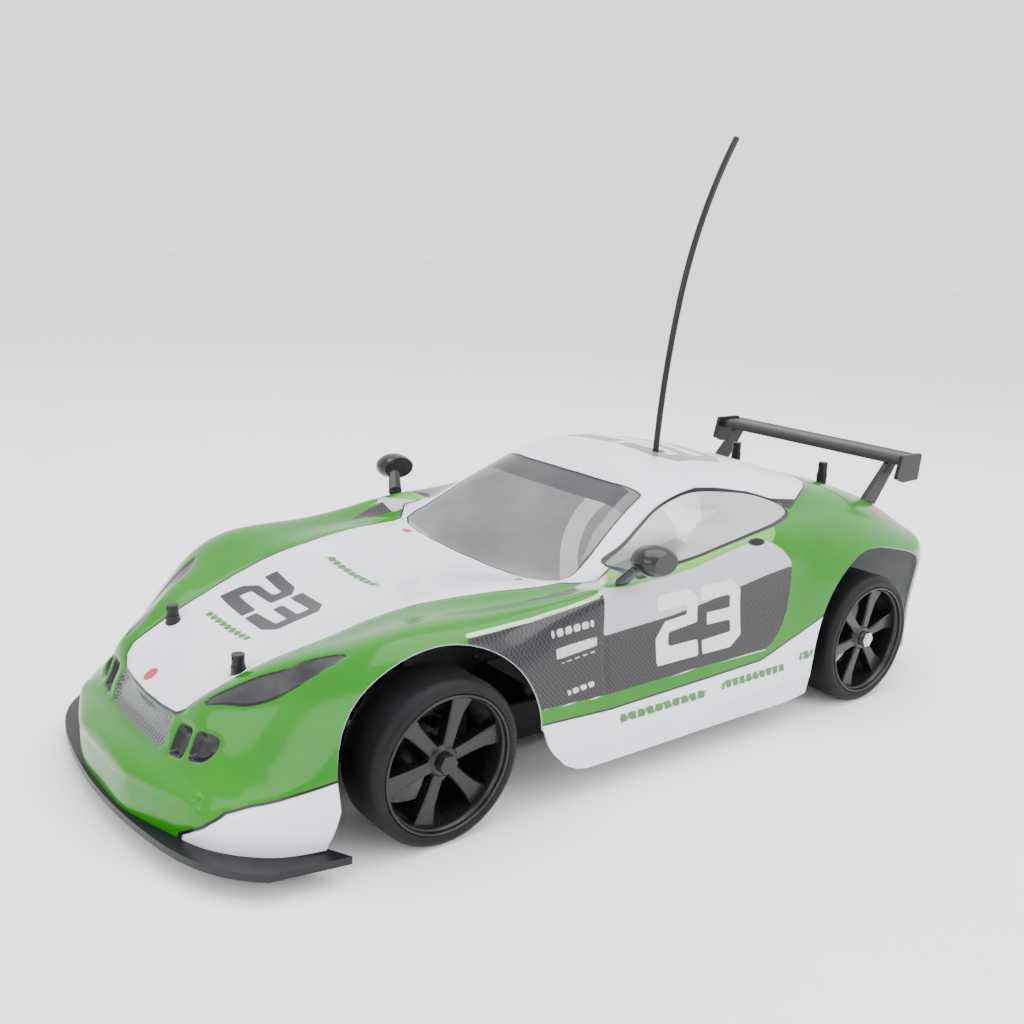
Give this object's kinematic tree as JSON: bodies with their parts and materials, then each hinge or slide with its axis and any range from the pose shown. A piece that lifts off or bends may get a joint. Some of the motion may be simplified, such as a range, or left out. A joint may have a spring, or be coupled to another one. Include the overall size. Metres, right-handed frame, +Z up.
{
  "type": "rc drift car",
  "caption": "Radio-controlled drift car with a lift-off painted shell, sprung wishbone suspension, slide-rack steering and rear drive.",
  "frame": {"origin": "on the ground under the middle of the car, between splitter lip and wing trailing edge", "axes": "+X to the left side of the car, +Y towards the tail, +Z up"},
  "size_m": [0.21, 0.428, 0.2738],
  "materials": {
    "body_paint": "painted clear plastic, gloss",
    "trim_black": "satin",
    "mirror_black": "gloss",
    "chassis_black": "moulded, satin",
    "suspension_black": "moulded, satin",
    "steel": "ground",
    "foam": "closed-cell foam",
    "aerial_black": "extruded tube",
    "battery_wrap": "shrink wrap",
    "electronics": "moulded",
    "motor_can": "plated",
    "link_plastic": "moulded",
    "gear_plastic": "moulded",
    "brass_gear": "cut",
    "rim_black": "satin",
    "tyre_rubber": "smooth hard compound",
    "damper_body": "moulded",
    "damper_rod": "smooth",
    "spring_steel": "wire"
  },
  "bodies": {
    "chassis": {"front_splitter": "trim_black", "chassis_tub": "chassis_black", "front_bulkhead": "chassis_black", "rear_gearbox": "chassis_black", "hinge_pins": "steel", "bumper_foam": "foam", "body_posts": "trim_black", "aerial_tube": "aerial_black", "battery_pack": "battery_wrap", "receiver_unit": "electronics", "steering_servo": "electronics", "drive_motor": "motor_can"},
    "shell": {"body_shell": "body_paint", "rear_wing": "trim_black", "wing_stays": "trim_black", "mirrors": "mirror_black"},
    "rack": {"steering_rack": "link_plastic"},
    "horn": {"servo_horn": "link_plastic"},
    "spool": {"spool_gear": "gear_plastic"},
    "pinion": {"motor_pinion": "brass_gear"},
    "front_arm_left": {"front_lower_arm_left": "suspension_black"},
    "front_link_left": {"front_upper_arm_left": "suspension_black"},
    "front_damper_left": {"front_damper_body_left": "damper_body", "front_damper_spring_left": "spring_steel"},
    "front_damper_rod_left": {"front_damper_rod_left": "damper_rod"},
    "carrier_left": {"front_carrier_left": "suspension_black"},
    "knuckle_left": {"front_knuckle_left": "suspension_black"},
    "front_wheel_left": {"front_rim_left": "rim_black", "front_tyre_left": "tyre_rubber"},
    "tie_rod_left": {"tie_rod_left": "link_plastic"},
    "rear_arm_left": {"rear_lower_arm_left": "suspension_black"},
    "rear_link_left": {"rear_upper_arm_left": "suspension_black"},
    "rear_damper_left": {"rear_damper_body_left": "damper_body", "rear_damper_spring_left": "spring_steel"},
    "rear_damper_rod_left": {"rear_damper_rod_left": "damper_rod"},
    "upright_left": {"rear_upright_left": "suspension_black"},
    "rear_wheel_left": {"rear_rim_left": "rim_black", "rear_tyre_left": "tyre_rubber", "rear_axle_left": "steel"},
    "drive_shaft_left": {"drive_shaft_left": "steel"},
    "front_arm_right": {"front_lower_arm_right": "suspension_black"},
    "front_link_right": {"front_upper_arm_right": "suspension_black"},
    "front_damper_right": {"front_damper_body_right": "damper_body", "front_damper_spring_right": "spring_steel"},
    "front_damper_rod_right": {"front_damper_rod_right": "damper_rod"},
    "carrier_right": {"front_carrier_right": "suspension_black"},
    "knuckle_right": {"front_knuckle_right": "suspension_black"},
    "front_wheel_right": {"front_rim_right": "rim_black", "front_tyre_right": "tyre_rubber"},
    "tie_rod_right": {"tie_rod_right": "link_plastic"},
    "rear_arm_right": {"rear_lower_arm_right": "suspension_black"},
    "rear_link_right": {"rear_upper_arm_right": "suspension_black"},
    "rear_damper_right": {"rear_damper_body_right": "damper_body", "rear_damper_spring_right": "spring_steel"},
    "rear_damper_rod_right": {"rear_damper_rod_right": "damper_rod"},
    "upright_right": {"rear_upright_right": "suspension_black"},
    "rear_wheel_right": {"rear_rim_right": "rim_black", "rear_tyre_right": "tyre_rubber", "rear_axle_right": "steel"},
    "drive_shaft_right": {"drive_shaft_right": "steel"}
  },
  "joints": [
    {"name": "shell_lift", "type": "slide", "parent": "chassis", "child": "shell", "axis": [0, 0, 1], "range_m": [0, 0.03]},
    {"name": "front_suspension_left", "type": "hinge", "parent": "chassis", "child": "front_arm_left", "pos_m": [0.024, -0.115, 0.017], "axis": [0, -1, 0], "range_deg": [-6, 5], "stiffness_Nm_per_rad": 1, "springref_deg": -5.16},
    {"name": "front_link_hinge_left", "type": "hinge", "parent": "chassis", "child": "front_link_left", "pos_m": [0.024, -0.113, 0.049], "axis": [0, -1, 0], "range_deg": [-6, 5]},
    {"name": "front_hub_hinge_left", "type": "hinge", "parent": "front_arm_left", "child": "carrier_left", "pos_m": [0.063, -0.115, 0.017], "axis": [0, -1, 0], "range_deg": [-5, 6]},
    {"name": "front_damper_swing_left", "type": "hinge", "parent": "chassis", "child": "front_damper_left", "pos_m": [0.02, -0.128, 0.061], "axis": [0, -1, 0], "range_deg": [-2, 2]},
    {"name": "front_damper_stroke_left", "type": "slide", "parent": "front_damper_left", "child": "front_damper_rod_left", "axis": [-0.6139, 0, 0.7894], "range_m": [-0.004, 0.004], "deforming": ["front_damper_spring_left"]},
    {"name": "steer_left", "type": "hinge", "parent": "carrier_left", "child": "knuckle_left", "pos_m": [0.066, -0.115, 0.033], "axis": [0, 0, 1], "range_deg": [-26, 26]},
    {"name": "front_wheel_spin_left", "type": "hinge", "parent": "knuckle_left", "child": "front_wheel_left", "pos_m": [0.082, -0.115, 0.033], "axis": [1, 0, 0], "continuous": true},
    {"name": "tie_rod_hinge_left", "type": "hinge", "parent": "rack", "child": "tie_rod_left", "pos_m": [0.027, -0.09975, 0.038], "axis": [0, -1, 0], "range_deg": [-6, 5]},
    {"name": "rear_suspension_left", "type": "hinge", "parent": "chassis", "child": "rear_arm_left", "pos_m": [0.024, 0.143, 0.017], "axis": [0, -1, 0], "range_deg": [-6, 5], "stiffness_Nm_per_rad": 1, "springref_deg": -5.16},
    {"name": "rear_link_hinge_left", "type": "hinge", "parent": "chassis", "child": "rear_link_left", "pos_m": [0.024, 0.143, 0.049], "axis": [0, -1, 0], "range_deg": [-6, 5]},
    {"name": "rear_hub_hinge_left", "type": "hinge", "parent": "rear_arm_left", "child": "upright_left", "pos_m": [0.063, 0.143, 0.017], "axis": [0, -1, 0], "range_deg": [-5, 6]},
    {"name": "rear_damper_swing_left", "type": "hinge", "parent": "chassis", "child": "rear_damper_left", "pos_m": [0.024, 0.155, 0.076], "axis": [0, -1, 0], "range_deg": [-2, 2]},
    {"name": "rear_damper_stroke_left", "type": "slide", "parent": "rear_damper_left", "child": "rear_damper_rod_left", "axis": [-0.4258, 0, 0.9048], "range_m": [-0.004, 0.004], "deforming": ["rear_damper_spring_left"]},
    {"name": "rear_wheel_spin_left", "type": "hinge", "parent": "upright_left", "child": "rear_wheel_left", "pos_m": [0.082, 0.143, 0.033], "axis": [1, 0, 0], "continuous": true},
    {"name": "drive_shaft_spin_left", "type": "hinge", "parent": "rear_arm_left", "child": "drive_shaft_left", "pos_m": [0.045, 0.143, 0.033], "axis": [1, 0, 0], "continuous": true},
    {"name": "front_suspension_right", "type": "hinge", "parent": "chassis", "child": "front_arm_right", "pos_m": [-0.024, -0.115, 0.017], "axis": [0, 1, 0], "range_deg": [-6, 5], "stiffness_Nm_per_rad": 1, "springref_deg": -5.16},
    {"name": "front_link_hinge_right", "type": "hinge", "parent": "chassis", "child": "front_link_right", "pos_m": [-0.024, -0.113, 0.049], "axis": [0, 1, 0], "range_deg": [-6, 5]},
    {"name": "front_hub_hinge_right", "type": "hinge", "parent": "front_arm_right", "child": "carrier_right", "pos_m": [-0.063, -0.115, 0.017], "axis": [0, 1, 0], "range_deg": [-5, 6]},
    {"name": "front_damper_swing_right", "type": "hinge", "parent": "chassis", "child": "front_damper_right", "pos_m": [-0.02, -0.128, 0.061], "axis": [0, 1, 0], "range_deg": [-2, 2]},
    {"name": "front_damper_stroke_right", "type": "slide", "parent": "front_damper_right", "child": "front_damper_rod_right", "axis": [0.6139, 0, 0.7894], "range_m": [-0.004, 0.004], "deforming": ["front_damper_spring_right"]},
    {"name": "steer_right", "type": "hinge", "parent": "carrier_right", "child": "knuckle_right", "pos_m": [-0.066, -0.115, 0.033], "axis": [0, 0, 1], "range_deg": [-26, 26]},
    {"name": "front_wheel_spin_right", "type": "hinge", "parent": "knuckle_right", "child": "front_wheel_right", "pos_m": [-0.082, -0.115, 0.033], "axis": [1, 0, 0], "continuous": true},
    {"name": "tie_rod_hinge_right", "type": "hinge", "parent": "rack", "child": "tie_rod_right", "pos_m": [-0.027, -0.09975, 0.038], "axis": [0, 1, 0], "range_deg": [-6, 5]},
    {"name": "rear_suspension_right", "type": "hinge", "parent": "chassis", "child": "rear_arm_right", "pos_m": [-0.024, 0.143, 0.017], "axis": [0, 1, 0], "range_deg": [-6, 5], "stiffness_Nm_per_rad": 1, "springref_deg": -5.16},
    {"name": "rear_link_hinge_right", "type": "hinge", "parent": "chassis", "child": "rear_link_right", "pos_m": [-0.024, 0.143, 0.049], "axis": [0, 1, 0], "range_deg": [-6, 5]},
    {"name": "rear_hub_hinge_right", "type": "hinge", "parent": "rear_arm_right", "child": "upright_right", "pos_m": [-0.063, 0.143, 0.017], "axis": [0, 1, 0], "range_deg": [-5, 6]},
    {"name": "rear_damper_swing_right", "type": "hinge", "parent": "chassis", "child": "rear_damper_right", "pos_m": [-0.024, 0.155, 0.076], "axis": [0, 1, 0], "range_deg": [-2, 2]},
    {"name": "rear_damper_stroke_right", "type": "slide", "parent": "rear_damper_right", "child": "rear_damper_rod_right", "axis": [0.4258, 0, 0.9048], "range_m": [-0.004, 0.004], "deforming": ["rear_damper_spring_right"]},
    {"name": "rear_wheel_spin_right", "type": "hinge", "parent": "upright_right", "child": "rear_wheel_right", "pos_m": [-0.082, 0.143, 0.033], "axis": [1, 0, 0], "continuous": true},
    {"name": "drive_shaft_spin_right", "type": "hinge", "parent": "rear_arm_right", "child": "drive_shaft_right", "pos_m": [-0.045, 0.143, 0.033], "axis": [1, 0, 0], "continuous": true},
    {"name": "steering_slide", "type": "slide", "parent": "chassis", "child": "rack", "axis": [1, 0, 0], "range_m": [-0.0068, 0.0068]},
    {"name": "horn_turn", "type": "hinge", "parent": "chassis", "child": "horn", "pos_m": [0, -0.072, 0.044], "axis": [0, 0, 1], "range_deg": [-26, 26]},
    {"name": "spool_spin", "type": "hinge", "parent": "chassis", "child": "spool", "pos_m": [0, 0.143, 0.033], "axis": [1, 0, 0], "continuous": true},
    {"name": "pinion_spin", "type": "hinge", "parent": "chassis", "child": "pinion", "pos_m": [0, 0.11735, 0.04234], "axis": [1, 0, 0], "continuous": true}
  ],
  "couplings": [
    {"joint": "front_link_hinge_left", "follows": "front_suspension_left", "ratio": 1},
    {"joint": "front_hub_hinge_left", "follows": "front_suspension_left", "ratio": -1},
    {"joint": "front_damper_swing_left", "follows": "front_suspension_left", "ratio": 0.18826},
    {"joint": "front_damper_stroke_left", "follows": "front_suspension_left", "m_per_rad": 0.023754},
    {"joint": "steer_left", "follows": "steering_slide", "rad_per_m": -64.5},
    {"joint": "tie_rod_hinge_left", "follows": "front_suspension_left", "ratio": 1},
    {"joint": "rear_link_hinge_left", "follows": "rear_suspension_left", "ratio": 1},
    {"joint": "rear_hub_hinge_left", "follows": "rear_suspension_left", "ratio": -1},
    {"joint": "rear_damper_swing_left", "follows": "rear_suspension_left", "ratio": 0.05744},
    {"joint": "rear_damper_stroke_left", "follows": "rear_suspension_left", "m_per_rad": 0.025064},
    {"joint": "drive_shaft_spin_left", "follows": "rear_wheel_spin_left", "ratio": 1},
    {"joint": "front_link_hinge_right", "follows": "front_suspension_right", "ratio": 1},
    {"joint": "front_hub_hinge_right", "follows": "front_suspension_right", "ratio": -1},
    {"joint": "front_damper_swing_right", "follows": "front_suspension_right", "ratio": 0.18826},
    {"joint": "front_damper_stroke_right", "follows": "front_suspension_right", "m_per_rad": 0.023754},
    {"joint": "steer_right", "follows": "steering_slide", "rad_per_m": -64.5},
    {"joint": "tie_rod_hinge_right", "follows": "front_suspension_right", "ratio": 1},
    {"joint": "rear_link_hinge_right", "follows": "rear_suspension_right", "ratio": 1},
    {"joint": "rear_hub_hinge_right", "follows": "rear_suspension_right", "ratio": -1},
    {"joint": "rear_damper_swing_right", "follows": "rear_suspension_right", "ratio": 0.05744},
    {"joint": "rear_damper_stroke_right", "follows": "rear_suspension_right", "m_per_rad": 0.025064},
    {"joint": "rear_wheel_spin_right", "follows": "rear_wheel_spin_left", "ratio": 1},
    {"joint": "drive_shaft_spin_right", "follows": "rear_wheel_spin_left", "ratio": 1},
    {"joint": "horn_turn", "follows": "steering_slide", "rad_per_m": 64.5},
    {"joint": "spool_spin", "follows": "rear_wheel_spin_left", "ratio": 1},
    {"joint": "pinion_spin", "follows": "rear_wheel_spin_left", "ratio": -3.25}
  ]
}
